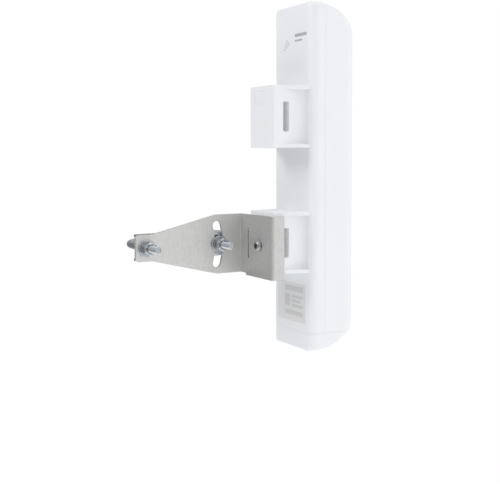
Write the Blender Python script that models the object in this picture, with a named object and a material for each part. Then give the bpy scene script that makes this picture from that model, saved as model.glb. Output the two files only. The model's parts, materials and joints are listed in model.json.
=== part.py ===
"""Outdoor wireless bridge with its tilting pole bracket, in metres, +Z up.

The origin is on the mast's axis, at the height of the clamp's two legs. +X is the side that the
clamp's nuts are on, +Y is the way the antenna looks, and the mast runs along Z through the clamp.
"""
import math

import bmesh
import bpy
from mathutils import Matrix, Vector

# Driving dimensions ------------------------------------------------------------------------------
CLEARANCE = 0.0003            # between pieces that touch

MAST_DIAMETER = 0.050         # the mast that the clamp is drawn on; the mast isn't part of the model
ROD_DIAMETER = 0.006          # clamp rod, M6
LEG_SPREAD = 0.066            # between the clamp rod's two legs
LEG_PROUD = 0.022             # rod end beyond the bracket's outer face

SADDLE_HEIGHT = 0.0216
SADDLE_LENGTH = 0.080
SADDLE_DEPTH = 0.0110
SADDLE_SHEET = 0.0020
BITE_ANGLE = math.radians(30)  # where the saddle's teeth touch the mast
SADDLE_TO_MAST = 0.0040       # between the saddle's web and the mast

SHEET = 0.0025                # bracket sheet
PLATE_END = 0.0097            # plate beyond the pivot leg
PLATE_NARROW = 0.0216         # plate height at the pivot end
PLATE_TALL = 0.0504           # plate height at the bend
PIVOT_TO_BEND = 0.0876        # pivot leg to the flange's outer face
SLIT_WIDTH = 0.0022           # narrow slit in the flange, beside the bend
FLANGE_REACH = 0.0110         # plate's outer face to the lug's far side
LIP_LENGTH = 0.0112
TILT_LIMIT = math.radians(14)
SLOT_PLAY = 0.0009            # between the clamp rod and the tilt slot's edges

HOUSING_WIDTH = 0.060
HOUSING_DEPTH = 0.0470
HOUSING_HEIGHT = 0.2905
HOUSING_BOTTOM = -0.0895
WALL = 0.0030
REAR_RADIUS = 0.007           # upright edges at the back
FRONT_RADIUS = 0.013          # upright edges at the front
END_RISE = 0.0245             # the front falls back over this height at each end ...
END_FALL = 0.038              # ... by this much
SIDE_EDGE = 0.0045            # rounding of the end faces' side edges
REAR_EDGE = 0.0028            # rounding of the end faces' back edges
PARTING_DEPTH = 0.0135        # back face to the joint between the two shells
COVER_HEIGHT = 0.016          # port cover
BAY_DEPTH = 0.0315            # bottom of the housing to the bulkhead above the ports

LUG_WIDTH = 0.038
LUG_HEIGHT = 0.0506
LUG_REACH = 0.0300            # lug's outer face to the housing's back
LUG_SPACING = 0.1036
LOWER_LUG_Z = 0.0032           # middle of the lower lug above the clamp rod
LUG_CORE = (0.032, 0.0446)     # hollow behind the strap slot, open to the housing's room
LEDGE = 0.0030                # end plates of a lug
STRAP_SLOT = (0.0055, 0.0245)
STRAP_SLOT_FROM_FACE = 0.0120

BOARD = (0.051, 0.0016, 0.172)
JACK = (0.016, 0.0135, 0.021)
JACK_MOUTH = (0.0118, 0.0072, 0.0145)
REFLECTOR = (0.052, 0.0008, 0.194)
PATCH_SIDE = 0.026
PATCH_PITCH = 0.044
PATCH_COUNT = 4
LIGHT_PITCH = 0.0070
LIGHT_COUNT = 5
LIGHT_RADIUS = 0.0013

# Derived places ----------------------------------------------------------------------------------
MAST_RADIUS = MAST_DIAMETER / 2
ROD_RADIUS = ROD_DIAMETER / 2
LEG_Y = LEG_SPREAD / 2
BOW_X = LEG_Y - ROD_RADIUS - MAST_RADIUS
SADDLE_IN = MAST_RADIUS + SADDLE_TO_MAST
SADDLE_OUT = SADDLE_IN + SADDLE_SHEET
PLATE_IN = SADDLE_OUT + CLEARANCE
PLATE_OUT = PLATE_IN + SHEET
FLANGE_OUT = PIVOT_TO_BEND - LEG_Y
FLANGE_IN = FLANGE_OUT + SHEET
LUG_FACE = FLANGE_IN + CLEARANCE
LUG_LEFT = PLATE_OUT + FLANGE_REACH
LUG_RIGHT = LUG_LEFT + LUG_WIDTH
LIP_IN = LUG_RIGHT + CLEARANCE
LIP_OUT = LIP_IN + SHEET
MID_X = (LUG_LEFT + LUG_RIGHT) / 2
BACK = LUG_FACE + LUG_REACH
FRONT = BACK + HOUSING_DEPTH
TOP = HOUSING_BOTTOM + HOUSING_HEIGHT
LUG_Z = {"lower": LOWER_LUG_Z, "upper": LOWER_LUG_Z + LUG_SPACING}
PARTING = BACK + PARTING_DEPTH
SEAM = 0.00032                 # open line between two housing pieces
COVER_TOP = HOUSING_BOTTOM + COVER_HEIGHT
BULKHEAD_LOW = HOUSING_BOTTOM + BAY_DEPTH
BULKHEAD_HIGH = BULKHEAD_LOW + WALL
BOARD_BACK = PARTING
BOARD_FRONT = BOARD_BACK + BOARD[1]
BOARD_LOW = BULKHEAD_HIGH + 0.0035
ON_BOARD = BOARD_FRONT + CLEARANCE
JACK_LOW = BULKHEAD_LOW - 0.001
JACK_X = (MID_X - 0.0125, MID_X + 0.0125)
REFLECTOR_BACK = BACK + 0.0315
REFLECTOR_LOW = BULKHEAD_HIGH + 0.0315
BOARD_SCREWS = [(x, z) for z in (BOARD_LOW + 0.0250, BOARD_LOW + BOARD[2] - 0.0050)
                for x in (MID_X - 0.0215, MID_X + 0.0215)]
REFLECTOR_SCREWS = [(x, z) for z in (REFLECTOR_LOW + 0.0100, REFLECTOR_LOW + REFLECTOR[2] - 0.0120)
                    for x in (MID_X - 0.0195, MID_X + 0.0195)]
LIGHT_Z = JACK_LOW + JACK[2] + 0.0075
LIGHT_X = [MID_X + LIGHT_PITCH * (index - (LIGHT_COUNT - 1) / 2) for index in range(LIGHT_COUNT)]
BUTTON_Y = ON_BOARD + 0.0050
GROMMET_Y = PARTING
LEAD_Z = REFLECTOR_LOW + REFLECTOR[2] / 2
LEAD_X = (MID_X - 0.0050, MID_X + 0.0050)
PATCH_Z = [LEAD_Z + PATCH_PITCH * (index - (PATCH_COUNT - 1) / 2) for index in range(PATCH_COUNT)]
FAR = 0.5                     # beyond every piece


# Materials ---------------------------------------------------------------------------------------
def material(name, colour, roughness, metallic=0.0):
    """A Principled material of one colour."""
    made = bpy.data.materials.new(name)
    made.use_nodes = True
    shader = made.node_tree.nodes["Principled BSDF"]
    shader.inputs["Base Color"].default_value = (*colour, 1.0)
    shader.inputs["Roughness"].default_value = roughness
    shader.inputs["Metallic"].default_value = metallic
    return made


for old in list(bpy.data.objects):
    bpy.data.objects.remove(old, do_unlink=True)

WHITE_PLASTIC = ("white_plastic", (0.86, 0.87, 0.88), 0.42, 0.0)
RADOME_PLASTIC = ("radome_plastic", (0.90, 0.91, 0.92), 0.40, 0.0)
BRUSHED_ALUMINIUM = ("brushed_aluminium", (0.70, 0.70, 0.69), 0.38, 1.0)
ZINC_STEEL = ("zinc_steel", (0.62, 0.65, 0.68), 0.30, 1.0)
BRASS = ("brass", (0.72, 0.55, 0.25), 0.35, 1.0)
RUBBER = ("seal_rubber", (0.08, 0.08, 0.085), 0.75, 0.0)
LABEL_FILM = ("label_film", (0.55, 0.56, 0.57), 0.45, 0.0)
BOARD_GREEN = ("circuit_board", (0.03, 0.20, 0.09), 0.40, 0.0)
TINNED = ("tinned_shield", (0.72, 0.72, 0.70), 0.30, 1.0)
FERRITE = ("black_plastic", (0.03, 0.03, 0.03), 0.50, 0.0)
COPPER = ("copper_patch", (0.80, 0.48, 0.30), 0.30, 1.0)
NYLON = ("nylon", (0.88, 0.87, 0.82), 0.50, 0.0)
CLEAR = ("light_guide", (0.85, 0.90, 0.90), 0.10, 0.0)
RED_CAP = ("button_red", (0.55, 0.05, 0.04), 0.45, 0.0)


# Shape helpers -----------------------------------------------------------------------------------
def finish(mesh, name, look=None, smooth=35.0):
    """Close a bmesh into an object with outward faces; with no look it is only a tool."""
    bmesh.ops.remove_doubles(mesh, verts=mesh.verts, dist=1e-7)
    bmesh.ops.recalc_face_normals(mesh, faces=mesh.faces)
    data = bpy.data.meshes.new(name)
    mesh.to_mesh(data)
    mesh.free()
    made = bpy.data.objects.new(name, data)
    bpy.context.scene.collection.objects.link(made)
    if look:
        dress(made, look, smooth)
    return made


def dress(made, look, smooth=35.0):
    """Give a finished piece its own material and smooth its round faces."""
    made.data.materials.clear()
    made.data.materials.append(material(f"{look[0]}_{made.name}", *look[1:]))
    made.data.shade_smooth()
    made.data.set_sharp_from_angle(angle=math.radians(smooth))
    return made


def rounded(corners, steps=4):
    """Outline through (u, v, radius) corners, each one rounded by an arc of its radius."""
    points = []
    for index, (u, v, radius) in enumerate(corners):
        corner = Vector((u, v))
        before = Vector(corners[index - 1][:2]) - corner
        after = Vector(corners[(index + 1) % len(corners)][:2]) - corner
        if radius <= 0.0:
            points.append(corner)
            continue
        before.normalize()
        after.normalize()
        half = before.angle(after) / 2
        centre = corner + (before + after).normalized() * radius / math.sin(half)
        start = corner + before * radius / math.tan(half) - centre
        end = corner + after * radius / math.tan(half) - centre
        sweep = start.angle_signed(end)
        for step in range(steps + 1):
            turn = Matrix.Rotation(-sweep * step / steps, 2)
            points.append(centre + turn @ start)
    return points


def rectangle(u_low, u_high, v_low, v_high, radius=0.0, steps=3):
    """Rounded rectangle."""
    return rounded([(u_low, v_low, radius), (u_high, v_low, radius),
                    (u_high, v_high, radius), (u_low, v_high, radius)], steps)


def circle(u, v, radius, count=20, start=0.0):
    """Round outline."""
    return [Vector((u + radius * math.cos(start + math.tau * step / count),
                    v + radius * math.sin(start + math.tau * step / count))) for step in range(count)]


def arc_slot(centre_u, centre_v, radius, half_angle, half_width, steps=10, end_steps=6):
    """Slot that follows an arc about a centre, with round ends."""
    outer = radius + half_width
    inner = radius - half_width
    outline = []
    for step in range(steps + 1):
        angle = -half_angle + 2 * half_angle * step / steps
        outline.append(Vector((centre_u + outer * math.cos(angle), centre_v + outer * math.sin(angle))))
    for side in (1, -1):
        tip = Vector((centre_u + radius * math.cos(side * half_angle),
                      centre_v + radius * math.sin(side * half_angle)))
        for step in range(1, end_steps):
            turn = side * half_angle + math.pi * step / end_steps
            if side < 0:
                turn += math.pi
            outline.append(tip + half_width * Vector((math.cos(turn), math.sin(turn))))
        if side > 0:
            for back in range(steps + 1):
                angle = half_angle - 2 * half_angle * back / steps
                outline.append(Vector((centre_u + inner * math.cos(angle),
                                       centre_v + inner * math.sin(angle))))
    return outline


def at(axis, u, v, w):
    """World point at height w along an axis of (u, v): Y, Z for X; X, Z for Y; X, Y for Z."""
    return {"X": (w, u, v), "Y": (u, w, v), "Z": (u, v, w)}[axis]


def prism(name, outline, axis, low, high, look=None):
    """Outline extruded along an axis."""
    mesh = bmesh.new()
    ends = [[mesh.verts.new(at(axis, u, v, w)) for u, v in outline] for w in (low, high)]
    mesh.faces.new(ends[0])
    mesh.faces.new(reversed(ends[1]))
    for index in range(len(outline)):
        following = (index + 1) % len(outline)
        mesh.faces.new((ends[0][index], ends[0][following], ends[1][following], ends[1][index]))
    return finish(mesh, name, look)


def block(name, low, high, look=None):
    """Box between two corners."""
    return prism(name, rectangle(low[0], high[0], low[1], high[1]), "Z", low[2], high[2], look)


def turned(name, profile, axis, centre, look=None, count=20, closed=False):
    """Turn a profile of (radius, height) points round an axis; closed joins its last point to its first."""
    mesh = bmesh.new()
    u0, v0, w0 = centre
    rings = []
    for radius, height in profile:
        if radius <= 0.0:
            rings.append([mesh.verts.new(at(axis, u0, v0, w0 + height))])
            continue
        rings.append([mesh.verts.new(at(axis, p.x, p.y, w0 + height))
                      for p in circle(u0, v0, radius, count)])
    pairs = list(zip(rings, rings[1:]))
    if closed:
        pairs.append((rings[-1], rings[0]))
    for one, two in pairs:
        for step in range(count):
            after = (step + 1) % count
            corners = [one[step % len(one)], one[after % len(one)],
                       two[after % len(two)], two[step % len(two)]]
            kept = list(dict.fromkeys(corners))
            if len(kept) > 2:
                mesh.faces.new(kept)
    return finish(mesh, name, look)


def tube(name, outer, inner, axis, low, high, look=None):
    """Ring between two outlines that have the same number of points."""
    mesh = bmesh.new()
    loops = [[mesh.verts.new(at(axis, u, v, w)) for u, v in outline]
             for outline, w in ((outer, low), (outer, high), (inner, high), (inner, low))]
    for one, two in zip(loops, loops[1:] + loops[:1]):
        for index in range(len(outer)):
            following = (index + 1) % len(outer)
            mesh.faces.new((one[index], one[following], two[following], two[index]))
    return finish(mesh, name, look)


def rod(name, path, radius, look=None, sides=12):
    """Round rod swept along a path of points."""
    path = [Vector(point) for point in path]
    mesh = bmesh.new()
    rings = []
    side = None
    for index, point in enumerate(path):
        ahead = path[min(index + 1, len(path) - 1)] - path[max(index - 1, 0)]
        ahead.normalize()
        if side is None:
            side = ahead.orthogonal()
        side = (side - ahead * side.dot(ahead)).normalized()
        across = ahead.cross(side)
        ring = [point + radius * (math.cos(turn) * side + math.sin(turn) * across)
                for turn in (math.tau * step / sides for step in range(sides))]
        rings.append([mesh.verts.new(corner) for corner in ring])
    for one, two in zip(rings, rings[1:]):
        for step in range(sides):
            after = (step + 1) % sides
            mesh.faces.new((one[step], one[after], two[after], two[step]))
    mesh.faces.new(rings[0])
    mesh.faces.new(reversed(rings[-1]))
    return finish(mesh, name, look)


def combine(target, operation, *tools):
    """Apply a Boolean with each tool in turn, and remove the tools."""
    for tool in tools:
        step = target.modifiers.new("shape", "BOOLEAN")
        step.operation = operation
        step.solver = "EXACT"
        step.object = tool
        evaluated = target.evaluated_get(bpy.context.evaluated_depsgraph_get())
        shaped = bpy.data.meshes.new_from_object(evaluated)
        target.modifiers.clear()
        target.data = shaped
        bpy.data.objects.remove(tool, do_unlink=True)
    return target


def cut(target, *tools):
    """Take the tools away from the target."""
    return combine(target, "DIFFERENCE", *tools)


def join(target, *tools):
    """Add the tools to the target."""
    return combine(target, "UNION", *tools)


def keep(target, *tools):
    """Keep what the target shares with the tools."""
    return combine(target, "INTERSECT", *tools)


# Housing form ------------------------------------------------------------------------------------
def falling(distance, reach, fall):
    """How far a rounded end has fallen back at a distance from the end, on a quarter ellipse."""
    if distance >= reach:
        return 0.0
    part = (reach - distance) / reach
    return fall * (1.0 - math.sqrt(max(0.0, 1.0 - part * part)))


def housing_outline(distance, inset):
    """Plan outline of the housing at a distance from its nearer end, moved in by a wall."""
    half = HOUSING_WIDTH / 2 - inset - falling(distance, SIDE_EDGE, SIDE_EDGE - inset * 0.5)
    back = BACK + inset + falling(distance, REAR_EDGE, REAR_EDGE - inset * 0.5)
    front = FRONT - inset - falling(distance, END_RISE - inset, END_FALL - inset)
    rear_radius = REAR_RADIUS - inset
    front_radius = FRONT_RADIUS - inset
    room = (front - back - 0.0005) / (rear_radius + front_radius)
    if room < 1.0:
        rear_radius *= room
        front_radius *= room
    return rounded([(MID_X - half, back, rear_radius), (MID_X + half, back, rear_radius),
                    (MID_X + half, front, front_radius), (MID_X - half, front, front_radius)], 5)


def housing_form(name, inset=0.0):
    """Closed form of the housing, as a stack of plan outlines that follow its rounded ends."""
    edge = [SIDE_EDGE * (1.0 - math.cos(math.radians(turn))) for turn in (0, 25, 50, 70, 90)]
    rise = [END_RISE * (1.0 - math.cos(math.radians(turn))) for turn in (42, 54, 66, 78, 90)]
    levels = edge + rise
    mesh = bmesh.new()
    low = HOUSING_BOTTOM + inset
    high = TOP - inset
    stack = [(low + level, level) for level in levels]
    stack += [(high - level, level) for level in reversed(levels)]
    rings = [[mesh.verts.new((x, y, z)) for x, y in housing_outline(level, inset)] for z, level in stack]
    for one, two in zip(rings, rings[1:]):
        for index in range(len(one)):
            following = (index + 1) % len(one)
            mesh.faces.new((one[index], one[following], two[following], two[index]))
    mesh.faces.new(rings[0])
    mesh.faces.new(reversed(rings[-1]))
    return finish(mesh, name)


def slab(name, y_low=-FAR, y_high=FAR, z_low=-FAR, z_high=FAR):
    """Large box that keeps or cuts a range of Y and Z."""
    return block(name, (-FAR, y_low, z_low), (FAR, y_high, z_high))


def hollow_housing(name):
    """Both shells in one: the housing above the port cover, with its sealed room and its open bay."""
    shell = keep(housing_form(name), slab("above_cover", z_low=COVER_TOP))
    room = keep(housing_form("room", WALL), slab("above_bulkhead", z_low=BULKHEAD_HIGH))
    bay = keep(housing_form("bay", WALL), slab("below_bulkhead", z_high=BULKHEAD_LOW))
    return cut(shell, room, bay)


def seal_ring(name, inset, width, low, high, look=None):
    """Flat ring that follows the shells' joint round the sealed room."""
    loops = []
    for step in (inset, inset + width):
        half = HOUSING_WIDTH / 2 - step
        loops.append(rectangle(MID_X - half, MID_X + half, BULKHEAD_LOW + step, TOP - step, 0.0035, 3))
    return tube(name, loops[0], loops[1], "Y", low, high, look)


# Clamp on the mast -------------------------------------------------------------------------------
def make_u_bolt():
    """Clamp rod: two legs along X and a half-round bow round the mast's far side."""
    path = [(PLATE_OUT + LEG_PROUD, -LEG_Y, 0.0)]
    bow_steps = 20
    for step in range(bow_steps + 1):
        turn = math.pi * step / bow_steps
        path.append((BOW_X - LEG_Y * math.sin(turn), -LEG_Y * math.cos(turn), 0.0))
    path.append((PLATE_OUT + LEG_PROUD, LEG_Y, 0.0))
    rod("u_bolt", path, ROD_RADIUS, ZINC_STEEL, 12)


def make_saddle():
    """Pressed channel whose two toothed flanges bite the mast."""
    half = SADDLE_HEIGHT / 2
    end = SADDLE_LENGTH / 2
    mouth = SADDLE_OUT - SADDLE_DEPTH
    saddle = block("saddle", (mouth, -end, -half), (SADDLE_OUT, end, half))
    channel = block("channel", (-FAR, -FAR, -half + SADDLE_SHEET), (SADDLE_IN, FAR, half - SADDLE_SHEET))
    floor = SADDLE_IN - 0.0015
    teeth = 5
    floor_y = (MAST_RADIUS - floor * math.cos(BITE_ANGLE)) / math.sin(BITE_ANGLE)
    mouth_y = (MAST_RADIUS - mouth * math.cos(BITE_ANGLE)) / math.sin(BITE_ANGLE)
    side = []
    for tooth in range(teeth + 1):
        part = tooth / teeth
        depth = mouth + (floor - mouth) * part
        reach = mouth_y + (floor_y - mouth_y) * part
        side.append((depth, reach))
        if tooth < teeth:
            side.append((depth + 0.0012, reach + 0.0004))
    side.insert(0, (mouth - 0.004, mouth_y))
    notch = side + [(x, -y) for x, y in reversed(side)]
    bite = prism("bite", notch, "Z", -FAR, FAR)
    holes = [prism("leg_hole", circle(y, 0.0, ROD_RADIUS + CLEARANCE, 16), "X", 0.0, FAR)
             for y in (-LEG_Y, LEG_Y)]
    corners = []
    for side_y in (-1, 1):
        inner = side_y * (end - 0.004)
        outer = side_y * (end + 0.001)
        corners.append(prism("corner", [(mouth - 0.001, inner), (mouth + 0.0045, outer),
                                        (mouth - 0.001, outer)], "Z", -FAR, FAR))
    dress(cut(saddle, channel, bite, *holes, *corners), ZINC_STEEL)


def make_leg_hardware(place, leg_y):
    """Flat washer, spring washer and nut of one leg, stacked outwards from the bracket."""
    bore = ROD_RADIUS + CLEARANCE
    face = PLATE_OUT + CLEARANCE
    turned(f"flat_washer_{place}", [(bore, 0.0), (0.0072, 0.0), (0.0072, 0.0012), (bore, 0.0012)],
           "X", (leg_y, 0.0, face), ZINC_STEEL, 24, True)
    face += 0.0012 + CLEARANCE
    coil = turned(f"spring_washer_{place}", [(bore, 0.0), (0.0058, 0.0), (0.0058, 0.0015), (bore, 0.0015)],
                  "X", (leg_y, 0.0, face), None, 24, True)
    split = block("split", (face - 0.001, leg_y - 0.0003, 0.0), (face + 0.0025, leg_y + 0.0003, 0.0080))
    dress(cut(coil, split), ZINC_STEEL)
    face += 0.0015 + CLEARANCE
    hexagon = circle(leg_y, 0.0, 0.0100 / math.sqrt(3.0), 6, math.radians(30))
    nut = prism(f"hex_nut_{place}", hexagon, "X", face, face + 0.0050)
    dress(cut(nut, prism("thread", circle(leg_y, 0.0, bore, 16), "X", 0.0, FAR)), ZINC_STEEL)


# Tilting bracket ---------------------------------------------------------------------------------
def make_tilt_bracket():
    """One bent sheet: the tapered plate on the clamp, the flange on the lug and the lip round its side."""
    inner_bend = 0.0010
    outer_bend = inner_bend + SHEET
    plate_end = -LEG_Y - PLATE_END
    lip_end = FLANGE_OUT + LIP_LENGTH
    strip = prism("tilt_bracket", rounded([
        (PLATE_IN, plate_end, 0.0), (PLATE_OUT, plate_end, 0.0), (PLATE_OUT, FLANGE_OUT, inner_bend),
        (LIP_OUT, FLANGE_OUT, outer_bend), (LIP_OUT, lip_end, 0.0), (LIP_IN, lip_end, 0.0),
        (LIP_IN, FLANGE_IN, inner_bend), (PLATE_IN, FLANGE_IN, outer_bend)]), "Z", -0.040, 0.040)
    narrow = PLATE_NARROW / 2
    tall = PLATE_TALL / 2
    step_down = 0.0018
    past = lip_end + 0.010
    taper_start = -LEG_Y + 0.0042
    taper_end = LEG_Y - 0.0023
    drop_at = FLANGE_OUT - 0.004
    outline = prism("outline", rounded([
        (plate_end, -narrow, 0.0025), (taper_start, -narrow, 0.012), (taper_end, -tall, 0.018),
        (drop_at, -tall, 0.0), (drop_at, -tall - step_down, 0.0), (past, -tall - step_down, 0.0),
        (past, tall, 0.0), (taper_end, tall, 0.018), (taper_start, narrow, 0.012),
        (plate_end, narrow, 0.0025)], 5), "X", -FAR, FAR)
    relief = block("relief", (0.0, FLANGE_OUT - 0.010, -0.050),
                   (LUG_LEFT - 0.0028, FLANGE_IN + 0.010, -tall))
    pivot_hole = prism("pivot_hole", circle(-LEG_Y, 0.0, ROD_RADIUS + CLEARANCE, 20), "X", 0.0, 0.045)
    slot = prism("tilt_slot", arc_slot(-LEG_Y, 0.0, LEG_SPREAD, TILT_LIMIT, ROD_RADIUS + SLOT_PLAY),
                 "X", 0.0, 0.045)
    slit_x = LUG_LEFT + 0.0014
    slit = prism("slit", rectangle(slit_x - SLIT_WIDTH / 2, slit_x + SLIT_WIDTH / 2, -0.0120, 0.0110, 0.0010),
                 "Y", 0.030, 0.0645)
    slit_end = prism("slit_end", circle(slit_x, 0.0115, 0.0018, 20), "Y", 0.030, 0.0645)
    screw_hole = prism("screw_hole", circle(MID_X, 0.0, 0.0028, 16), "Y", 0.030, 0.0645)
    keep(strip, outline)
    cut(strip, relief, pivot_hole, slot, slit, slit_end, screw_hole)
    dress(strip, BRUSHED_ALUMINIUM)


def make_bracket_screw():
    """Socket-head screw through the flange into the lower lug's threaded insert."""
    head = 0.0030
    reach = 0.0095
    tip = reach + 0.0006
    profile = [(0.0, -0.0012), (0.0013, -0.0012), (0.0015, -head), (0.0038, -head), (0.0044, -0.0018),
               (0.0044, 0.0), (0.0024, 0.0), (0.0024, reach), (0.0018, tip), (0.0, tip)]
    turned("bracket_screw", profile, "Y", (MID_X, 0.0, FLANGE_OUT - CLEARANCE), ZINC_STEEL, 20)


def make_lug_insert():
    """Brass insert, moulded into the lower lug's face."""
    bore = 0.0024 + CLEARANCE
    turned("lug_insert", [(bore, 0.0), (0.0036, 0.0), (0.0036, 0.0070), (bore, 0.0070)],
           "Y", (MID_X, 0.0, LUG_FACE + 0.0003), BRASS, 20, True)


# Housing -----------------------------------------------------------------------------------------
def make_lug(place, middle):
    """Lug on the back: a strap slot through straight sides, a flare into the housing, two end plates."""
    low = middle - LUG_HEIGHT / 2
    high = middle + LUG_HEIGHT / 2
    root = BACK + 0.0012
    flare_x = 0.0068
    flare_y = 0.0100
    turn_at = BACK - flare_y
    side = []
    flare_steps = 5
    for step in range(flare_steps + 1):
        turn = math.pi / 2 * step / flare_steps
        side.append((LUG_WIDTH / 2 + flare_x * (1 - math.cos(turn)), turn_at + flare_y * math.sin(turn)))
    side.append((LUG_WIDTH / 2 + flare_x, root))
    half_face = LUG_WIDTH / 2
    edge = 0.0010
    right = [(half_face - edge, LUG_FACE), (half_face, LUG_FACE + edge)] + side
    outline = [(MID_X + x, y) for x, y in right] + [(MID_X - x, y) for x, y in reversed(right)]
    lug = prism(f"lug_{place}", outline, "Z", low + LEDGE / 2, high - LEDGE / 2)
    wide = half_face + flare_x
    past_lip = FLANGE_OUT + LIP_LENGTH + 0.0010
    ledge = [(half_face - edge, LUG_FACE), (half_face, LUG_FACE + edge), (half_face, past_lip),
             (wide, BACK - 0.0030), (wide, root)]
    plate = [(MID_X + x, y) for x, y in ledge] + [(MID_X - x, y) for x, y in reversed(ledge)]
    plates = [prism("ledge", plate, "Z", z, z + LEDGE) for z in (low, high - LEDGE)]
    join(lug, *plates)
    slot_y = LUG_FACE + STRAP_SLOT_FROM_FACE
    tall = STRAP_SLOT[1] / 2
    slot = prism("strap_slot", rectangle(slot_y - STRAP_SLOT[0] / 2, slot_y + STRAP_SLOT[0] / 2,
                                         middle - tall, middle + tall, 0.0015), "X", -FAR, FAR)
    pocket_x = LUG_LEFT + 0.0075
    pocket = prism("pocket", rectangle(pocket_x, pocket_x + 0.0150, high - 0.0150, high - 0.0035, 0.0010),
                   "Y", 0.0, LUG_FACE + 0.0008)
    return cut(lug, slot, pocket)


def lug_core(middle):
    """Tool for the hollow behind a lug's strap slot, which runs through the housing's back wall."""
    near = LUG_FACE + STRAP_SLOT_FROM_FACE + STRAP_SLOT[0] / 2 + 0.0025
    half = LUG_CORE[0] / 2
    tall = LUG_CORE[1] / 2
    return block("lug_core", (MID_X - half, near, middle - tall),
                 (MID_X + half, BACK + WALL + 0.001, middle + tall))


def make_rear_shell():
    """Back half of the housing, with its two lugs, the board's posts and its half of the bulkhead."""
    shell = keep(hollow_housing("rear_shell"), slab("behind_parting", y_high=PARTING - SEAM / 2))
    join(shell, *(make_lug(place, middle) for place, middle in LUG_Z.items()))
    cores = [lug_core(middle) for middle in LUG_Z.values()]
    posts = [prism("board_post", circle(x, z, 0.0032, 16), "Y", BACK + WALL - 0.001, BOARD_BACK - CLEARANCE)
             for x, z in BOARD_SCREWS]
    join(shell, *posts)
    seat = prism("insert_seat", circle(MID_X, 0.0, 0.0036 + CLEARANCE, 20), "Y", 0.0, LUG_FACE + 0.0076)
    tip = prism("screw_tip", circle(MID_X, 0.0, 0.0030, 20), "Y", 0.0, LUG_FACE + 0.0085)
    bores = [prism("post_bore", circle(x, z, 0.0016, 12), "Y", BOARD_BACK - 0.0075, BOARD_BACK + 0.001)
             for x, z in BOARD_SCREWS]
    dress(cut(shell, *cores, seat, tip, *bores), WHITE_PLASTIC, 40.0)


def make_front_radome():
    """Front half of the housing, which the antenna looks through."""
    radome = keep(hollow_housing("front_radome"), slab("before_parting", y_low=PARTING + SEAM / 2))
    post_foot = REFLECTOR_BACK + REFLECTOR[1] + CLEARANCE
    posts = [prism("reflector_post", circle(x, z, 0.0032, 16), "Y", post_foot, FRONT - WALL + 0.001)
             for x, z in REFLECTOR_SCREWS]
    join(radome, *posts)
    bores = [prism("post_bore", circle(x, z, 0.0016, 12), "Y", REFLECTOR_BACK, REFLECTOR_BACK + 0.0080)
             for x, z in REFLECTOR_SCREWS]
    groove = seal_ring("groove", 0.0008, 0.0016, PARTING - 0.001, PARTING + SEAM / 2 + 0.0015)
    windows = [prism("window", circle(x, LIGHT_Z, LIGHT_RADIUS + CLEARANCE, 12), "Y",
                     FRONT - 0.010, FRONT + 0.010) for x in LIGHT_X]
    half = JACK[0] / 2 + 0.0004
    doors = [block("jack_door", (x - half, PARTING - 0.001, BULKHEAD_LOW - 0.002),
                   (x + half, ON_BOARD + JACK[1] + 0.0004, BULKHEAD_HIGH + 0.002)) for x in JACK_X]
    button_way = prism("button_way", circle(MID_X, BUTTON_Y, 0.0020 + 0.0004, 16), "Z",
                       BULKHEAD_LOW - 0.002, BULKHEAD_HIGH + 0.002)
    dress(cut(radome, *bores, groove, *windows, *doors, button_way), RADOME_PLASTIC, 40.0)


def make_housing_gasket():
    """Rubber ring in the radome's groove."""
    low = PARTING - SEAM / 2 + CLEARANCE
    seal_ring("housing_gasket", 0.0011, 0.0010, low, low + 0.0012, RUBBER)


def make_rating_label():
    """Thin film on the back, below the lower lug."""
    top = LUG_Z["lower"] - LUG_HEIGHT / 2 - 0.0110
    outline = rectangle(MID_X - 0.0215, MID_X + 0.0205, top - 0.0330, top, 0.0015)
    prism("rating_label", outline, "Y", BACK - CLEARANCE - 0.0004, BACK - CLEARANCE, LABEL_FILM)


def make_port_cover():
    """Bottom cap over the ports, held by two snap arms that reach up into the bay."""
    cover = keep(housing_form("port_cover"), slab("below_seam", z_high=COVER_TOP - SEAM))
    cut(cover, housing_form("cover_room", WALL))
    arm_y = BACK + 0.0200
    arm_top = BULKHEAD_LOW - 0.0030
    foot_low = COVER_TOP - 0.0080
    for side in (-1, 1):
        wall_x = MID_X + side * (HOUSING_WIDTH / 2 - WALL)
        inner = wall_x - side * 0.0022
        arm_x = sorted((inner, wall_x - side * 0.0006))
        foot_x = sorted((inner, wall_x + side * 0.0010))
        arm = block("arm", (arm_x[0], arm_y, foot_low), (arm_x[1], arm_y + 0.0080, arm_top))
        foot = block("foot", (foot_x[0], arm_y, foot_low), (foot_x[1], arm_y + 0.0080, COVER_TOP - 0.0015))
        join(cover, join(arm, foot))
    seat_ring = circle(MID_X, GROMMET_Y, 0.0078, 24)
    hole_ring = circle(MID_X, GROMMET_Y, 0.0063, 24)
    room_top = COVER_TOP - 0.004
    seat = prism("grommet_seat", seat_ring, "Z", HOUSING_BOTTOM + 0.0026, room_top)
    hole = prism("cable_hole", hole_ring, "Z", HOUSING_BOTTOM - 0.002, room_top)
    dress(cut(cover, seat, hole), WHITE_PLASTIC, 40.0)


def make_cable_grommet():
    """Stepped rubber grommet in the cover's floor."""
    seat = HOUSING_BOTTOM + 0.0026 + CLEARANCE
    profile = [(0.0040, seat - 0.0022), (0.0060, seat - 0.0022), (0.0060, seat), (0.0075, seat),
               (0.0075, seat + 0.0020), (0.0060, seat + 0.0035), (0.0040, seat + 0.0035)]
    turned("cable_grommet", profile, "Z", (MID_X, GROMMET_Y, 0.0), RUBBER, 24, True)


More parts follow.
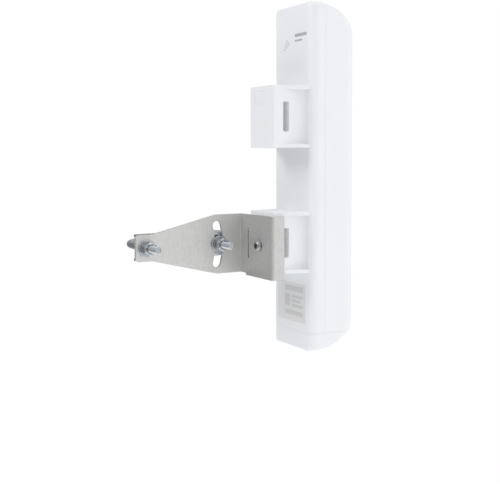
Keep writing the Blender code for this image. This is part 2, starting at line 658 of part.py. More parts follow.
# Electronics -------------------------------------------------------------------------------------
def make_circuit_board():
    """Main board on the rear shell's four posts."""
    half = BOARD[0] / 2
    outline = rectangle(MID_X - half, MID_X + half, BOARD_LOW, BOARD_LOW + BOARD[2], 0.0015)
    board = prism("circuit_board", outline, "Y", BOARD_BACK, BOARD_FRONT)
    holes = [prism("board_hole", circle(x, z, 0.0017, 12), "Y", BOARD_BACK - 0.001, BOARD_FRONT + 0.001)
             for x, z in BOARD_SCREWS]
    dress(cut(board, *holes), BOARD_GREEN)


def make_screw(name, x, z, face, head_side, length):
    """Small pan-head screw along Y; head_side is the way its head stands out of the face."""
    seat = face + head_side * CLEARANCE
    profile = [(0.0, 1.0), (0.0008, 1.0), (0.0010, 1.8), (0.0022, 1.8), (0.0027, 0.9), (0.0027, 0.0)]
    points = [(radius, head_side * height * 0.001) for radius, height in profile]
    points += [(0.0013, 0.0), (0.0013, -head_side * length), (0.0, -head_side * (length + 0.0008))]
    turned(name, points, "Y", (x, z, seat), ZINC_STEEL, 12)


def make_shield_can(name, low, high):
    """Folded tin lid over part of the board, open towards the board."""
    half = 0.0160
    sheet = 0.0004
    top = ON_BOARD + 0.0035
    can = prism(name, rectangle(MID_X - half, MID_X + half, low, high, 0.0012), "Y", ON_BOARD, top)
    inside = rectangle(MID_X - half + sheet, MID_X + half - sheet, low + sheet, high - sheet, 0.0008)
    dress(cut(can, prism("can_room", inside, "Y", ON_BOARD - 0.001, top - sheet)), TINNED)


def make_ethernet_jack(name, x):
    """Shielded socket on the board's lower edge, with its mouth down into the bay."""
    half = JACK[0] / 2
    jack = block(name, (x - half, ON_BOARD, JACK_LOW), (x + half, ON_BOARD + JACK[1], JACK_LOW + JACK[2]))
    mouth_half = JACK_MOUTH[0] / 2
    mouth_back = ON_BOARD + 0.0022
    mouth = block("mouth", (x - mouth_half, mouth_back, JACK_LOW - 0.001),
                  (x + mouth_half, mouth_back + JACK_MOUTH[1], JACK_LOW + JACK_MOUTH[2]))
    latch = block("latch_way", (x - 0.0031, mouth_back + JACK_MOUTH[1] - 0.001, JACK_LOW - 0.001),
                  (x + 0.0031, mouth_back + JACK_MOUTH[1] + 0.0020, JACK_LOW + 0.0090))
    dress(cut(jack, mouth, latch), TINNED)


def make_reset():
    """Push switch on the board and its cap, which comes down through the bulkhead."""
    body_low = BULKHEAD_HIGH + 0.0045
    block("reset_switch", (MID_X - 0.0030, ON_BOARD, body_low),
          (MID_X + 0.0030, ON_BOARD + 0.0080, body_low + 0.006), FERRITE)
    stem = 0.0020
    top = body_low - 0.0010
    profile = [(0.0, top), (stem, top), (stem, BULKHEAD_HIGH + 0.0014), (0.0032, BULKHEAD_HIGH + 0.0014),
               (0.0032, BULKHEAD_HIGH + 0.0004), (stem, BULKHEAD_HIGH + 0.0004),
               (stem, BULKHEAD_LOW - 0.0030), (stem - 0.0005, BULKHEAD_LOW - 0.0035), (0.0, BULKHEAD_LOW - 0.0035)]
    button = turned("reset_button", profile, "Z", (0.0, 0.0, 0.0), RED_CAP, 16)
    button.location = (MID_X, BUTTON_Y, 0.0)


def make_light_guide():
    """Clear guide: a bar near the board with a round pin to each window in the radome."""
    low = ON_BOARD + 0.0030
    guide = block("light_guide", (LIGHT_X[0] - 0.003, low, LIGHT_Z - 0.0018),
                  (LIGHT_X[-1] + 0.003, low + 0.0030, LIGHT_Z + 0.0018))
    pins = [prism("pin", circle(x, LIGHT_Z, LIGHT_RADIUS, 10), "Y", low + 0.0020, FRONT + 0.0002)
            for x in LIGHT_X]
    dress(join(guide, *pins), CLEAR)


def make_power_parts():
    """Transformer and capacitor of the power supply that the network cable feeds."""
    x = MID_X - 0.0120
    z = LIGHT_Z + 0.0125
    prism("power_transformer", rectangle(x - 0.0065, x + 0.0065, z - 0.0060, z + 0.0060, 0.0012),
          "Y", ON_BOARD, ON_BOARD + 0.0100, FERRITE)
    profile = [(0.0, 0.0), (0.0040, 0.0), (0.0040, 0.0115), (0.0035, 0.0120), (0.0, 0.0120)]
    turned("filter_capacitor", profile, "Y", (MID_X + 0.0120, z, ON_BOARD), FERRITE, 16)


# Antenna -----------------------------------------------------------------------------------------
def make_reflector_plate():
    """Aluminium tray behind the patches, screwed to the radome's posts."""
    half = REFLECTOR[0] / 2
    sheet = REFLECTOR[1]
    front = REFLECTOR_BACK + sheet
    rim = front + 0.0045
    inner = half - sheet
    section = [(MID_X - half, REFLECTOR_BACK), (MID_X + half, REFLECTOR_BACK), (MID_X + half, rim),
               (MID_X + inner, rim), (MID_X + inner, front), (MID_X - inner, front),
               (MID_X - inner, rim), (MID_X - half, rim)]
    tray = prism("reflector_plate", section, "Z", REFLECTOR_LOW, REFLECTOR_LOW + REFLECTOR[2])
    holes = [prism("tray_hole", circle(x, z, 0.0017, 12), "Y", REFLECTOR_BACK - 0.001, front + 0.001)
             for x, z in REFLECTOR_SCREWS + [(x, LEAD_Z) for x in LEAD_X]]
    dress(cut(tray, *holes), BRUSHED_ALUMINIUM)


def make_patches():
    """Copper patches, each on its nylon post in front of the tray."""
    front = REFLECTOR_BACK + REFLECTOR[1] + CLEARANCE
    half = PATCH_SIDE / 2
    top = 0.0036
    profile = [(0.0, 0.0), (0.0030, 0.0), (0.0022, 0.0010), (0.0022, top), (0.0, top)]
    low = front + top + CLEARANCE
    for number, z in enumerate(PATCH_Z, 1):
        turned(f"patch_post_{number}", profile, "Y", (MID_X, z, front), NYLON, 12)
        square = rectangle(MID_X - half, MID_X + half, z - half, z + half, 0.0015)
        prism(f"antenna_patch_{number}", square, "Y", low, low + 0.0008, COPPER)


def make_coax_leads():
    """Two thin leads from the radio's shield can through the tray."""
    start_z = BOARD_LOW + 0.128
    for number, x in enumerate(LEAD_X, 1):
        near = ON_BOARD + 0.0012
        far = REFLECTOR_BACK + REFLECTOR[1] + 0.0010
        route = []
        bend_steps = 12
        for step in range(bend_steps + 1):
            part = step / bend_steps
            ease = part * part * (3 - 2 * part)
            up = min(1.0, 1.25 * part)
            route.append((x, near + (far - near) * ease, start_z + (LEAD_Z - start_z) * up))
        rod(f"coax_lead_{number}", route, 0.0008, FERRITE, 6)


def carry(name, place, pieces):
    """Empty at a joint's place that carries pieces, which stay where they are."""
    holder = bpy.data.objects.new(name, None)
    holder.location = place
    bpy.context.scene.collection.objects.link(holder)
    for piece in pieces:
        piece.parent = holder
        piece.matrix_parent_inverse = Matrix.Translation(-Vector(place))
    return holder


# Build -------------------------------------------------------------------------------------------
make_u_bolt()
make_saddle()
for leg_name, leg_side in (("pivot", -LEG_Y), ("slot", LEG_Y)):
    make_leg_hardware(leg_name, leg_side)
clamp = set(bpy.data.objects)
make_tilt_bracket()
make_bracket_screw()
make_lug_insert()
make_rear_shell()
make_front_radome()
make_housing_gasket()
make_rating_label()
make_port_cover()
make_cable_grommet()
make_circuit_board()
for screw_number, (screw_x, screw_z) in enumerate(BOARD_SCREWS, 1):
    make_screw(f"board_screw_{screw_number}", screw_x, screw_z, BOARD_FRONT, 1, 0.0070)
for screw_number, (screw_x, screw_z) in enumerate(REFLECTOR_SCREWS, 1):
    make_screw(f"reflector_screw_{screw_number}", screw_x, screw_z, REFLECTOR_BACK, -1, 0.0060)
make_shield_can("processor_shield", BOARD_LOW + 0.058, BOARD_LOW + 0.088)
make_shield_can("radio_shield", BOARD_LOW + 0.094, BOARD_LOW + 0.124)
for jack_name, jack_x in zip(("ethernet_jack_main", "ethernet_jack_aux"), JACK_X):
    make_ethernet_jack(jack_name, jack_x)
make_reset()
make_light_guide()
make_power_parts()
make_reflector_plate()
make_patches()
make_coax_leads()
cover_parts = [bpy.data.objects[name] for name in ("port_cover", "cable_grommet")]
radio_parts = [made for made in bpy.data.objects if made not in clamp and made not in cover_parts]
cover_slide = carry("cover_slide", (MID_X, GROMMET_Y, COVER_TOP), cover_parts)
carry("tilt_axis", (PLATE_OUT, -LEG_Y, 0.0), radio_parts + [cover_slide])
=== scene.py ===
import json
import math

import bmesh
import bpy
from mathutils import Matrix, Vector


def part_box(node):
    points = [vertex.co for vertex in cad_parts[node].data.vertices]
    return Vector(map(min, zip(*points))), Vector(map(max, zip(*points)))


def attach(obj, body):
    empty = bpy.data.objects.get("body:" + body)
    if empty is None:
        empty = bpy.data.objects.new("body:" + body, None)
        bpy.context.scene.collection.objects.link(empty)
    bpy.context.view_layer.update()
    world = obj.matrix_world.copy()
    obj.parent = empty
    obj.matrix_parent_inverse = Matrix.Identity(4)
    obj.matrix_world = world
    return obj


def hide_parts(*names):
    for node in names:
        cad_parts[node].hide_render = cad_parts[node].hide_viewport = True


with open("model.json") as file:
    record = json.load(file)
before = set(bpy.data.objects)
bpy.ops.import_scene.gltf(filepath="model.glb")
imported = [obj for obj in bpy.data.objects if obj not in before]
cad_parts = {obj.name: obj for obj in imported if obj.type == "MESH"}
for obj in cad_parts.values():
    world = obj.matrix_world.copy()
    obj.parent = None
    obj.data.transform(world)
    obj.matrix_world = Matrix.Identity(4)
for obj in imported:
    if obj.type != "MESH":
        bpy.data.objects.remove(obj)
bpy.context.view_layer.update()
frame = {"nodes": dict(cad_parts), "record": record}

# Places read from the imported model, in metres ----------------------------------------------------
ROD_LOW, ROD_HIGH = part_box("u_bolt")
SADDLE_LOW, SADDLE_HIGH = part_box("saddle")
BRACKET_LOW, BRACKET_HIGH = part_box("tilt_bracket")
REAR_LOW, REAR_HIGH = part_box("rear_shell")
RADOME_LOW, RADOME_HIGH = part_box("front_radome")
COVER_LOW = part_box("port_cover")[0]
LABEL_LOW, LABEL_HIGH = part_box("rating_label")
SCREW_LOW, SCREW_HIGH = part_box("bracket_screw")
JACKS = [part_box(name) for name in ("ethernet_jack_main", "ethernet_jack_aux")]
BUTTON_LOW, BUTTON_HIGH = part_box("reset_button")
GROMMET_LOW, GROMMET_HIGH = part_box("cable_grommet")

MID_X = (RADOME_LOW.x + RADOME_HIGH.x) / 2
FRONT = RADOME_HIGH.y
BOTTOM = COVER_LOW.z
TOP = RADOME_HIGH.z
LUG_FACE = REAR_LOW.y
PARTING = (REAR_HIGH.y + RADOME_LOW.y) / 2
PARTING_DEPTH = 0.0135
BACK = PARTING - PARTING_DEPTH
ROD_RADIUS = ROD_HIGH.z
LEG_Y = ROD_HIGH.y - ROD_RADIUS
SHEET = 0.0025
LIP_LENGTH = 0.0112
PLATE_IN = BRACKET_LOW.x
PLATE_OUT = PLATE_IN + SHEET
LIP_OUT = BRACKET_HIGH.x
FLANGE_OUT = BRACKET_HIGH.y - LIP_LENGTH
CLEARANCE = 0.0003

# Housing dimensions that a box doesn't give
HALF_WIDTH = (RADOME_HIGH.x - RADOME_LOW.x) / 2
WALL = 0.0030
REAR_RADIUS = 0.0070
FRONT_RADIUS = 0.0130
END_RISE = 0.0245
END_FALL = 0.0380
SIDE_EDGE = 0.0045
REAR_EDGE = 0.0028
COVER_TOP = BOTTOM + 0.0160
BULKHEAD_LOW = BOTTOM + 0.0315
BULKHEAD_HIGH = BULKHEAD_LOW + WALL
SEAM = 0.00008
LUG_WIDTH = 0.0380
LUG_HEIGHT = 0.0506
LOWER_LUG_Z = 0.0032
LUG_SPACING = 0.1036
LUG_Z = {"lower": LOWER_LUG_Z, "upper": LOWER_LUG_Z + LUG_SPACING}
LUG_LEFT = MID_X - LUG_WIDTH / 2
LEDGE = 0.0030
STRAP_SLOT = (0.0055, 0.0245)
STRAP_SLOT_Y = LUG_FACE + 0.0120
SHELL_EDGE = 0.00015
FAR = 0.5


# Shape helpers -----------------------------------------------------------------------------------
def finish(mesh, name, material=None, smooth=35.0):
    """Turn a bmesh into an object with outward faces; with no material it is only a tool."""
    bmesh.ops.remove_doubles(mesh, verts=mesh.verts, dist=1e-7)
    bmesh.ops.recalc_face_normals(mesh, faces=mesh.faces)
    data = bpy.data.meshes.new(name)
    mesh.to_mesh(data)
    mesh.free()
    made = bpy.data.objects.new(name, data)
    bpy.context.scene.collection.objects.link(made)
    if material:
        dress(made, material, smooth)
    return made


def dress(made, material, smooth=35.0):
    """Give a piece its material and smooth its round faces, with the flat ones kept flat."""
    made.data.materials.clear()
    made.data.materials.append(material)
    made.data.shade_smooth()
    made.data.set_sharp_from_angle(angle=math.radians(smooth))
    step = made.modifiers.new("normals", "WEIGHTED_NORMAL")
    step.keep_sharp = True
    return bake(made)


def rounded(corners, steps=8):
    """Outline through (u, v, radius) corners, each one rounded by an arc of its radius."""
    points = []
    for index, (u, v, radius) in enumerate(corners):
        corner = Vector((u, v))
        before = Vector(corners[index - 1][:2]) - corner
        after = Vector(corners[(index + 1) % len(corners)][:2]) - corner
        if radius <= 0.0:
            points.append(corner)
            continue
        before.normalize()
        after.normalize()
        half = before.angle(after) / 2
        centre = corner + (before + after).normalized() * radius / math.sin(half)
        start = corner + before * radius / math.tan(half) - centre
        end = corner + after * radius / math.tan(half) - centre
        sweep = start.angle_signed(end)
        for step in range(steps + 1):
            points.append(centre + Matrix.Rotation(-sweep * step / steps, 2) @ start)
    return points


def rectangle(u_low, u_high, v_low, v_high, radius=0.0, steps=6):
    """Rounded rectangle."""
    return rounded([(u_low, v_low, radius), (u_high, v_low, radius),
                    (u_high, v_high, radius), (u_low, v_high, radius)], steps)


def circle(u, v, radius, count=48, start=0.0):
    """Round outline."""
    return [Vector((u + radius * math.cos(start + math.tau * step / count),
                    v + radius * math.sin(start + math.tau * step / count))) for step in range(count)]


def arc_band(u, v, radius, start, end, half_width, steps=20, end_steps=6):
    """Band along an arc about (u, v), with round ends."""
    points = []
    for step in range(steps + 1):
        turn = start + (end - start) * step / steps
        points.append(Vector((u + (radius + half_width) * math.cos(turn),
                              v + (radius + half_width) * math.sin(turn))))
    tip = Vector((u + radius * math.cos(end), v + radius * math.sin(end)))
    for step in range(1, end_steps):
        turn = end + math.pi * step / end_steps
        points.append(tip + half_width * Vector((math.cos(turn), math.sin(turn))))
    for step in range(steps + 1):
        turn = end - (end - start) * step / steps
        points.append(Vector((u + (radius - half_width) * math.cos(turn),
                              v + (radius - half_width) * math.sin(turn))))
    tip = Vector((u + radius * math.cos(start), v + radius * math.sin(start)))
    for step in range(1, end_steps):
        turn = start + math.pi + math.pi * step / end_steps
        points.append(tip + half_width * Vector((math.cos(turn), math.sin(turn))))
    return points


def at(axis, u, v, w):
    """World point at height w along an axis of (u, v): Y, Z for X; X, Z for Y; X, Y for Z."""
    return {"X": (w, u, v), "Y": (u, w, v), "Z": (u, v, w)}[axis]


def prism(name, outline, axis, low, high, material=None):
    """Outline extruded along an axis."""
    mesh = bmesh.new()
    ends = [[mesh.verts.new(at(axis, u, v, w)) for u, v in outline] for w in (low, high)]
    mesh.faces.new(ends[0])
    mesh.faces.new(reversed(ends[1]))
    for index in range(len(outline)):
        following = (index + 1) % len(outline)
        mesh.faces.new((ends[0][index], ends[0][following], ends[1][following], ends[1][index]))
    return finish(mesh, name, material)


def block(name, low, high, material=None):
    """Box between two corners."""
    return prism(name, rectangle(low[0], high[0], low[1], high[1]), "Z", low[2], high[2], material)


def turned(name, profile, axis, centre, material=None, count=48, closed=False):
    """Turn a profile of (radius, height) points round an axis; closed joins its ends."""
    mesh = bmesh.new()
    u0, v0, w0 = centre
    rings = []
    for radius, height in profile:
        if radius <= 0.0:
            rings.append([mesh.verts.new(at(axis, u0, v0, w0 + height))])
            continue
        rings.append([mesh.verts.new(at(axis, p.x, p.y, w0 + height))
                      for p in circle(u0, v0, radius, count)])
    pairs = list(zip(rings, rings[1:]))
    if closed:
        pairs.append((rings[-1], rings[0]))
    for one, two in pairs:
        for step in range(count):
            after = (step + 1) % count
            corners = [one[step % len(one)], one[after % len(one)],
                       two[after % len(two)], two[step % len(two)]]
            kept = list(dict.fromkeys(corners))
            if len(kept) > 2:
                mesh.faces.new(kept)
    return finish(mesh, name, material)


def lattice(name, rings, material=None, smooth=35.0, close=False):
    """Skin over rings of points; the end rings are capped unless the skin closes on itself."""
    mesh = bmesh.new()
    rows = [[mesh.verts.new(point) for point in ring] for ring in rings]
    pairs = list(zip(rows, rows[1:]))
    if close:
        pairs.append((rows[-1], rows[0]))
    else:
        mesh.faces.new(rows[0])
        mesh.faces.new(reversed(rows[-1]))
    for one, two in pairs:
        for index in range(len(one)):
            following = (index + 1) % len(one)
            mesh.faces.new((one[index], one[following], two[following], two[index]))
    return finish(mesh, name, material, smooth)


def combine(target, operation, *tools):
    """Apply a Boolean with each tool in turn, and remove the tools."""
    for tool in tools:
        step = target.modifiers.new("shape", "BOOLEAN")
        step.operation = operation
        step.solver = "EXACT"
        step.object = tool
        bake(target)
        bpy.data.objects.remove(tool, do_unlink=True)
    return target


def bake(target):
    """Apply a piece's modifiers."""
    evaluated = target.evaluated_get(bpy.context.evaluated_depsgraph_get())
    shaped = bpy.data.meshes.new_from_object(evaluated)
    target.modifiers.clear()
    target.data = shaped
    return target


def cut(target, *tools):
    """Take the tools away from the target."""
    return combine(target, "DIFFERENCE", *tools)


def join(target, *tools):
    """Add the tools to the target."""
    return combine(target, "UNION", *tools)


def keep(target, *tools):
    """Keep what the target shares with the tools."""
    return combine(target, "INTERSECT", *tools)


def soften(target, width, segments=2, angle=38.0):
    """Round the sharp edges by a small radius."""
    step = target.modifiers.new("edge", "BEVEL")
    step.width = width
    step.segments = segments
    step.limit_method = "ANGLE"
    step.angle_limit = math.radians(angle)
    step.use_clamp_overlap = True
    step.miter_outer = "MITER_ARC"
    return bake(target)


def place(piece, body, slot, *nodes):
    """Hang a finished piece on its body, in the stead of the CAD nodes; the slot argument is not used."""
    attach(piece, body)
    if nodes:
        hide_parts(*nodes)
    return piece


# Materials ---------------------------------------------------------------------------------------
class Look:
    """A Principled material and short ways to add procedural detail to it."""

    def __init__(self, name, colour, roughness, metallic=0.0, **constants):
        self.material = bpy.data.materials.new(name)
        self.material.use_nodes = True
        self.tree = self.material.node_tree
        self.shader = self.tree.nodes["Principled BSDF"]
        self.colour = (*colour, 1.0)
        self.shader.inputs["Base Color"].default_value = self.colour
        self.shader.inputs["Roughness"].default_value = roughness
        self.shader.inputs["Metallic"].default_value = metallic
        for socket, value in constants.items():
            self.shader.inputs[socket.replace("_", " ")].default_value = value
        self.place = self.tree.nodes.new("ShaderNodeTexCoord").outputs["Object"]

    def node(self, kind, **settings):
        """New node with its settings."""
        made = self.tree.nodes.new(kind)
        for key, value in settings.items():
            setattr(made, key, value)
        return made

    def link(self, source, target):
        """Join two sockets."""
        self.tree.links.new(source, target)

    def noise(self, scale, detail=3.0, rough=0.55, stretch=(1.0, 1.0, 1.0), shift=(0.0, 0.0, 0.0)):
        """Noise over the object's own coordinates; scale is in cells per metre."""
        mapping = self.node("ShaderNodeMapping")
        mapping.inputs["Scale"].default_value = stretch
        mapping.inputs["Location"].default_value = shift
        self.link(self.place, mapping.inputs["Vector"])
        made = self.node("ShaderNodeTexNoise")
        made.inputs["Scale"].default_value = scale
        made.inputs["Detail"].default_value = detail
        made.inputs["Roughness"].default_value = rough
        self.link(mapping.outputs["Vector"], made.inputs["Vector"])
        return made.outputs["Fac"]

    def spread(self, source, low, high, start=0.3, end=0.7):
        """Map a 0 to 1 value to low..high."""
        made = self.node("ShaderNodeMapRange")
        made.inputs["From Min"].default_value = start
        made.inputs["From Max"].default_value = end
        made.inputs["To Min"].default_value = low
        made.inputs["To Max"].default_value = high
        self.link(source, made.inputs["Value"])
        return made.outputs["Result"]

    def tint(self, source, other, start=0.3, end=0.7):
        """Mix the colour so far towards another one where the source is high."""
        made = self.node("ShaderNodeMix", data_type="RGBA")
        self.link(self.spread(source, 0.0, 1.0, start, end), made.inputs["Factor"])
        current = self.shader.inputs["Base Color"]
        if current.is_linked:
            self.link(current.links[0].from_socket, made.inputs["A"])
        else:
            made.inputs["A"].default_value = self.colour
        made.inputs["B"].default_value = (*other, 1.0)
        self.link(made.outputs["Result"], current)
        return self

    def roughen(self, source, low, high, start=0.3, end=0.7):
        """Vary the roughness with the source."""
        self.link(self.spread(source, low, high, start, end), self.shader.inputs["Roughness"])
        return self

    def emboss(self, source, depth, strength=1.0):
        """Bump by the source, with a depth in metres; later calls add to earlier ones."""
        made = self.node("ShaderNodeBump")
        made.inputs["Strength"].default_value = strength
        made.inputs["Distance"].default_value = depth
        self.link(source, made.inputs["Height"])
        current = self.shader.inputs["Normal"]
        if current.is_linked:
            self.link(current.links[0].from_socket, made.inputs["Normal"])
        self.link(made.outputs["Normal"], current)
        return self


def plastic(name, colour, shade, roughness, grain=2600.0, depth=0.000012):
    """Moulded plastic: fine spark-eroded grain and a faint cloudiness."""
    look = Look(name, colour, roughness, Coat_Weight=0.06, Coat_Roughness=0.35, Subsurface_Weight=0.12,
                Subsurface_Scale=0.0015, Subsurface_Radius=(1.0, 1.0, 1.0))
    cloud = look.noise(14.0, 2.0)
    fine = look.noise(grain, 2.0, 0.6)
    look.tint(cloud, shade, 0.35, 0.75)
    look.roughen(fine, roughness - 0.05, roughness + 0.08)
    return look.emboss(fine, depth).emboss(look.noise(90.0, 1.0), 0.00002, 0.5).material


def brushed(name, colour, dark, roughness=0.43):
    """Brushed sheet metal with its grain along Z, a few deeper scratches and faint handling marks."""
    look = Look(name, colour, roughness, 1.0)
    streak = look.noise(60.0, 4.0, 0.7, (24.0, 24.0, 1.6))
    mottle = look.noise(420.0, 4.0, 0.65, (1.0, 1.0, 0.55))
    broad = look.noise(9.0, 3.0, 0.6, (6.0, 6.0, 1.0), (3.0, 1.0, 0.0))
    scratch = look.noise(40.0, 1.0, 0.4, (24.0, 24.0, 0.6), (7.0, 2.0, 5.0))
    look.tint(streak, dark, 0.38, 1.00)
    look.tint(mottle, dark, 0.42, 0.85)
    look.tint(broad, tuple(0.93 * part for part in colour), 0.45, 0.80)
    look.roughen(streak, roughness - 0.07, roughness + 0.12)
    look.emboss(streak, 0.00002, 0.5).emboss(mottle, 0.00003, 0.5)
    return look.emboss(look.spread(scratch, 0.0, 1.0, 0.66, 0.70), 0.00001, 0.4).material


def plated(name, colour, warm, roughness):
    """Bare or plated steel: a cast of a second colour in places, and small pits."""
    look = Look(name, colour, roughness, 1.0)
    cloud = look.noise(160.0, 3.0)
    pits = look.noise(1500.0, 3.0, 0.6)
    look.tint(cloud, warm, 0.45, 0.75)
    look.tint(pits, tuple(0.62 * part for part in colour), 0.60, 0.85)
    look.roughen(cloud, roughness - 0.05, roughness + 0.14)
    return look.emboss(pits, 0.00002, 0.5).material


SHELL_WHITE = plastic("shell_plastic", (0.852, 0.868, 0.894), (0.828, 0.838, 0.856), 0.42)
# Whiter copy of the shell plastic for the strap-slot walls: painted light over the shade inside the slots
SLOT_PAINTED_LIGHT_WHITE = plastic("slot_painted_light_plastic", (0.965, 0.972, 0.985), (0.950, 0.956, 0.968), 0.42)
RADOME_WHITE = plastic("radome_plastic_look", (0.856, 0.874, 0.900), (0.836, 0.850, 0.872), 0.42)
ALUMINIUM = brushed("brushed_sheet", (0.69, 0.69, 0.682), (0.57, 0.57, 0.560))
ZINC = plated("zinc_plating", (0.44, 0.48, 0.52), (0.50, 0.49, 0.46), 0.14)
STEEL = plated("screw_steel", (0.36, 0.37, 0.36), (0.30, 0.30, 0.29), 0.34)


def simple(name, colour, other, roughness, metallic=0.0, scale=220.0, depth=0.00001, **constants):
    """Material with mottled colour and a fine uneven surface."""
    look = Look(name, colour, roughness, metallic, **constants)
    cloud = look.noise(scale, 3.0)
    look.tint(cloud, other, 0.35, 0.75)
    look.roughen(cloud, roughness - 0.05, roughness + 0.08)
    return look.emboss(look.noise(scale * 9, 2.0), depth).material


def board_look():
    """Solder mask over a net of traces, with small tinned pads."""
    look = Look("board_mask", (0.012, 0.115, 0.050), 0.38)
    cells = look.node("ShaderNodeTexVoronoi", distance="MANHATTAN", feature="DISTANCE_TO_EDGE")
    cells.inputs["Scale"].default_value = 260.0
    look.link(look.place, cells.inputs["Vector"])
    traces = look.spread(cells.outputs["Distance"], 1.0, 0.0, 0.03, 0.05)
    look.tint(traces, (0.030, 0.190, 0.085), 0.2, 0.8)
    pads = look.node("ShaderNodeTexVoronoi")
    pads.inputs["Scale"].default_value = 420.0
    look.link(look.place, pads.inputs["Vector"])
    look.tint(look.spread(pads.outputs["Distance"], 1.0, 0.0, 0.16, 0.19), (0.62, 0.62, 0.58), 0.2, 0.8)
    return look.emboss(traces, 0.00004).material


def label_look():
    """Grey film with printed blocks; nothing on it can be read."""
    look = Look("label_print", (0.760, 0.762, 0.770), 0.40)
    parts = look.node("ShaderNodeSeparateXYZ")
    look.link(look.place, parts.inputs["Vector"])

    def inside(axis, low, high):
        """1 between two places along an axis."""
        above = look.node("ShaderNodeMath", operation="GREATER_THAN")
        look.link(parts.outputs[axis], above.inputs[0])
        above.inputs[1].default_value = low
        below = look.node("ShaderNodeMath", operation="LESS_THAN")
        look.link(parts.outputs[axis], below.inputs[0])
        below.inputs[1].default_value = high
        both = look.node("ShaderNodeMath", operation="MULTIPLY")
        look.link(above.outputs[0], both.inputs[0])
        look.link(below.outputs[0], both.inputs[1])
        return both.outputs[0]

    left = LABEL_LOW.x
    top = LABEL_HIGH.z
    # Left and right edge of each block from the film's left, then its top and bottom from the film's top
    blocks = [(0.0110, 0.0390, 0.0025, 0.0072), (0.0110, 0.0190, 0.0105, 0.0205),
              (0.0215, 0.0385, 0.0105, 0.0129), (0.0215, 0.0350, 0.0144, 0.0168),
              (0.0215, 0.0385, 0.0183, 0.0207), (0.0110, 0.0385, 0.0240, 0.0278)]
    for u_low, u_high, drop_low, drop_high in blocks:
        patch = look.node("ShaderNodeMath", operation="MULTIPLY")
        look.link(inside("X", left + u_low, left + u_high), patch.inputs[0])
        look.link(inside("Z", top - drop_high, top - drop_low), patch.inputs[1])
        look.tint(patch.outputs[0], (0.640, 0.642, 0.650), 0.0, 1.0)
    fine = look.noise(2400.0, 2.0)
    look.roughen(fine, 0.34, 0.46)
    return look.emboss(fine, 0.000008).material


INK = simple("mark_ink", (0.40, 0.41, 0.425), (0.46, 0.47, 0.48), 0.45, 0.0, 900.0)
FAINT_INK = simple("faint_mark_ink", (0.62, 0.63, 0.645), (0.66, 0.67, 0.68), 0.45, 0.0, 900.0)
RUBBER = simple("grommet_rubber", (0.030, 0.030, 0.032), (0.050, 0.050, 0.052), 0.68, 0.0, 300.0, 0.00003)
LOOKS = {
    "white_plastic": SHELL_WHITE,
    "radome_plastic": RADOME_WHITE,
    "brushed_aluminium": ALUMINIUM,
    "zinc_steel": ZINC,
    "label_film": label_look(),
    "seal_rubber": RUBBER,
    "circuit_board": board_look(),
    "brass": simple("brass_insert", (0.72, 0.53, 0.24), (0.60, 0.42, 0.17), 0.32, 1.0, 400.0),
    "tinned_shield": simple("tin_plate", (0.70, 0.70, 0.68), (0.58, 0.58, 0.57), 0.28, 1.0, 500.0),
    "black_plastic": simple("moulded_black", (0.022, 0.022, 0.024), (0.040, 0.040, 0.042), 0.48),
    "copper_patch": simple("copper_sheet", (0.80, 0.45, 0.27), (0.62, 0.32, 0.20), 0.30, 1.0, 180.0),
    "nylon": simple("natural_nylon", (0.84, 0.82, 0.75), (0.78, 0.76, 0.69), 0.48),
    "light_guide": simple("clear_guide", (0.86, 0.90, 0.90), (0.80, 0.86, 0.87), 0.12, 0.0, 200.0,
                          0.000004, Transmission_Weight=0.5, IOR=1.58),
    "button_red": simple("red_cap", (0.46, 0.035, 0.030), (0.36, 0.025, 0.022), 0.42, 0.0, 500.0),
}
for row in frame["record"]["subparts"]:
    data = frame["nodes"][row["node"]].data
    data.materials.clear()
    data.materials.append(LOOKS[row["material_slot"]])


# Clamp on the mast -------------------------------------------------------------------------------
THREAD_PITCH = 0.0010
THREAD_DEPTH = 0.00060
THREAD_LENGTH = 0.0340
THREAD_STEPS = 272
THREAD_FLANK = 2.6
THREAD_ROOT = 0.15
RUN_OUT = 0.0015
CHAMFER = 0.0008
WASHER_GAP = 0.0002
NUT_FLATS = 0.0100


def thread_radius(from_tip, x, turn):
    """Radius of the clamp rod at a distance from its tip; turn is the angle about +X."""
    phase = (x / THREAD_PITCH - turn / math.tau) % 1.0
    crest = min(1.0, max(0.0, THREAD_FLANK * abs(phase - 0.5) - THREAD_ROOT))
    fade = min(1.0, max(0.0, (THREAD_LENGTH - from_tip) / RUN_OUT))
    radius = ROD_RADIUS - THREAD_DEPTH * (1.0 - crest) * fade
    return min(radius, ROD_RADIUS - CHAMFER + from_tip)


def make_u_bolt():
    """Clamp rod with threaded legs and chamfered tips."""
    tip_x = ROD_HIGH.x
    bow_x = ROD_LOW.x + ROD_RADIUS + LEG_Y
    leg = tip_x - bow_x
    sides = 24
    bow_steps = 48
    plain_steps = 3
    leg_at = [THREAD_LENGTH * step / THREAD_STEPS for step in range(THREAD_STEPS + 1)]
    leg_at += [THREAD_LENGTH + (leg - THREAD_LENGTH) * step / plain_steps for step in range(1, plain_steps)]
    stations = [(Vector((tip_x - s, -LEG_Y, 0.0)), Vector((0.0, -1.0, 0.0)), s) for s in leg_at]
    for step in range(bow_steps + 1):
        turn = math.pi * step / bow_steps
        out = Vector((-math.sin(turn), -math.cos(turn), 0.0))
        stations.append((Vector((bow_x, 0.0, 0.0)) + LEG_Y * out, out, leg))
    stations += [(Vector((tip_x - s, LEG_Y, 0.0)), Vector((0.0, 1.0, 0.0)), s) for s in reversed(leg_at)]
    rings = []
    for centre, out, from_tip in stations:
        ring = []
        for side in range(sides):
            turn = math.tau * side / sides
            away = out * math.cos(turn) + Vector((0.0, 0.0, 1.0)) * math.sin(turn)
            radius = thread_radius(from_tip, centre.x, math.atan2(away.z, away.y))
            ring.append(centre + away * radius)
        rings.append(ring)
    place(lattice("clamp_rod", rings, ZINC, 50.0), "mast_clamp", "zinc_steel", "u_bolt")


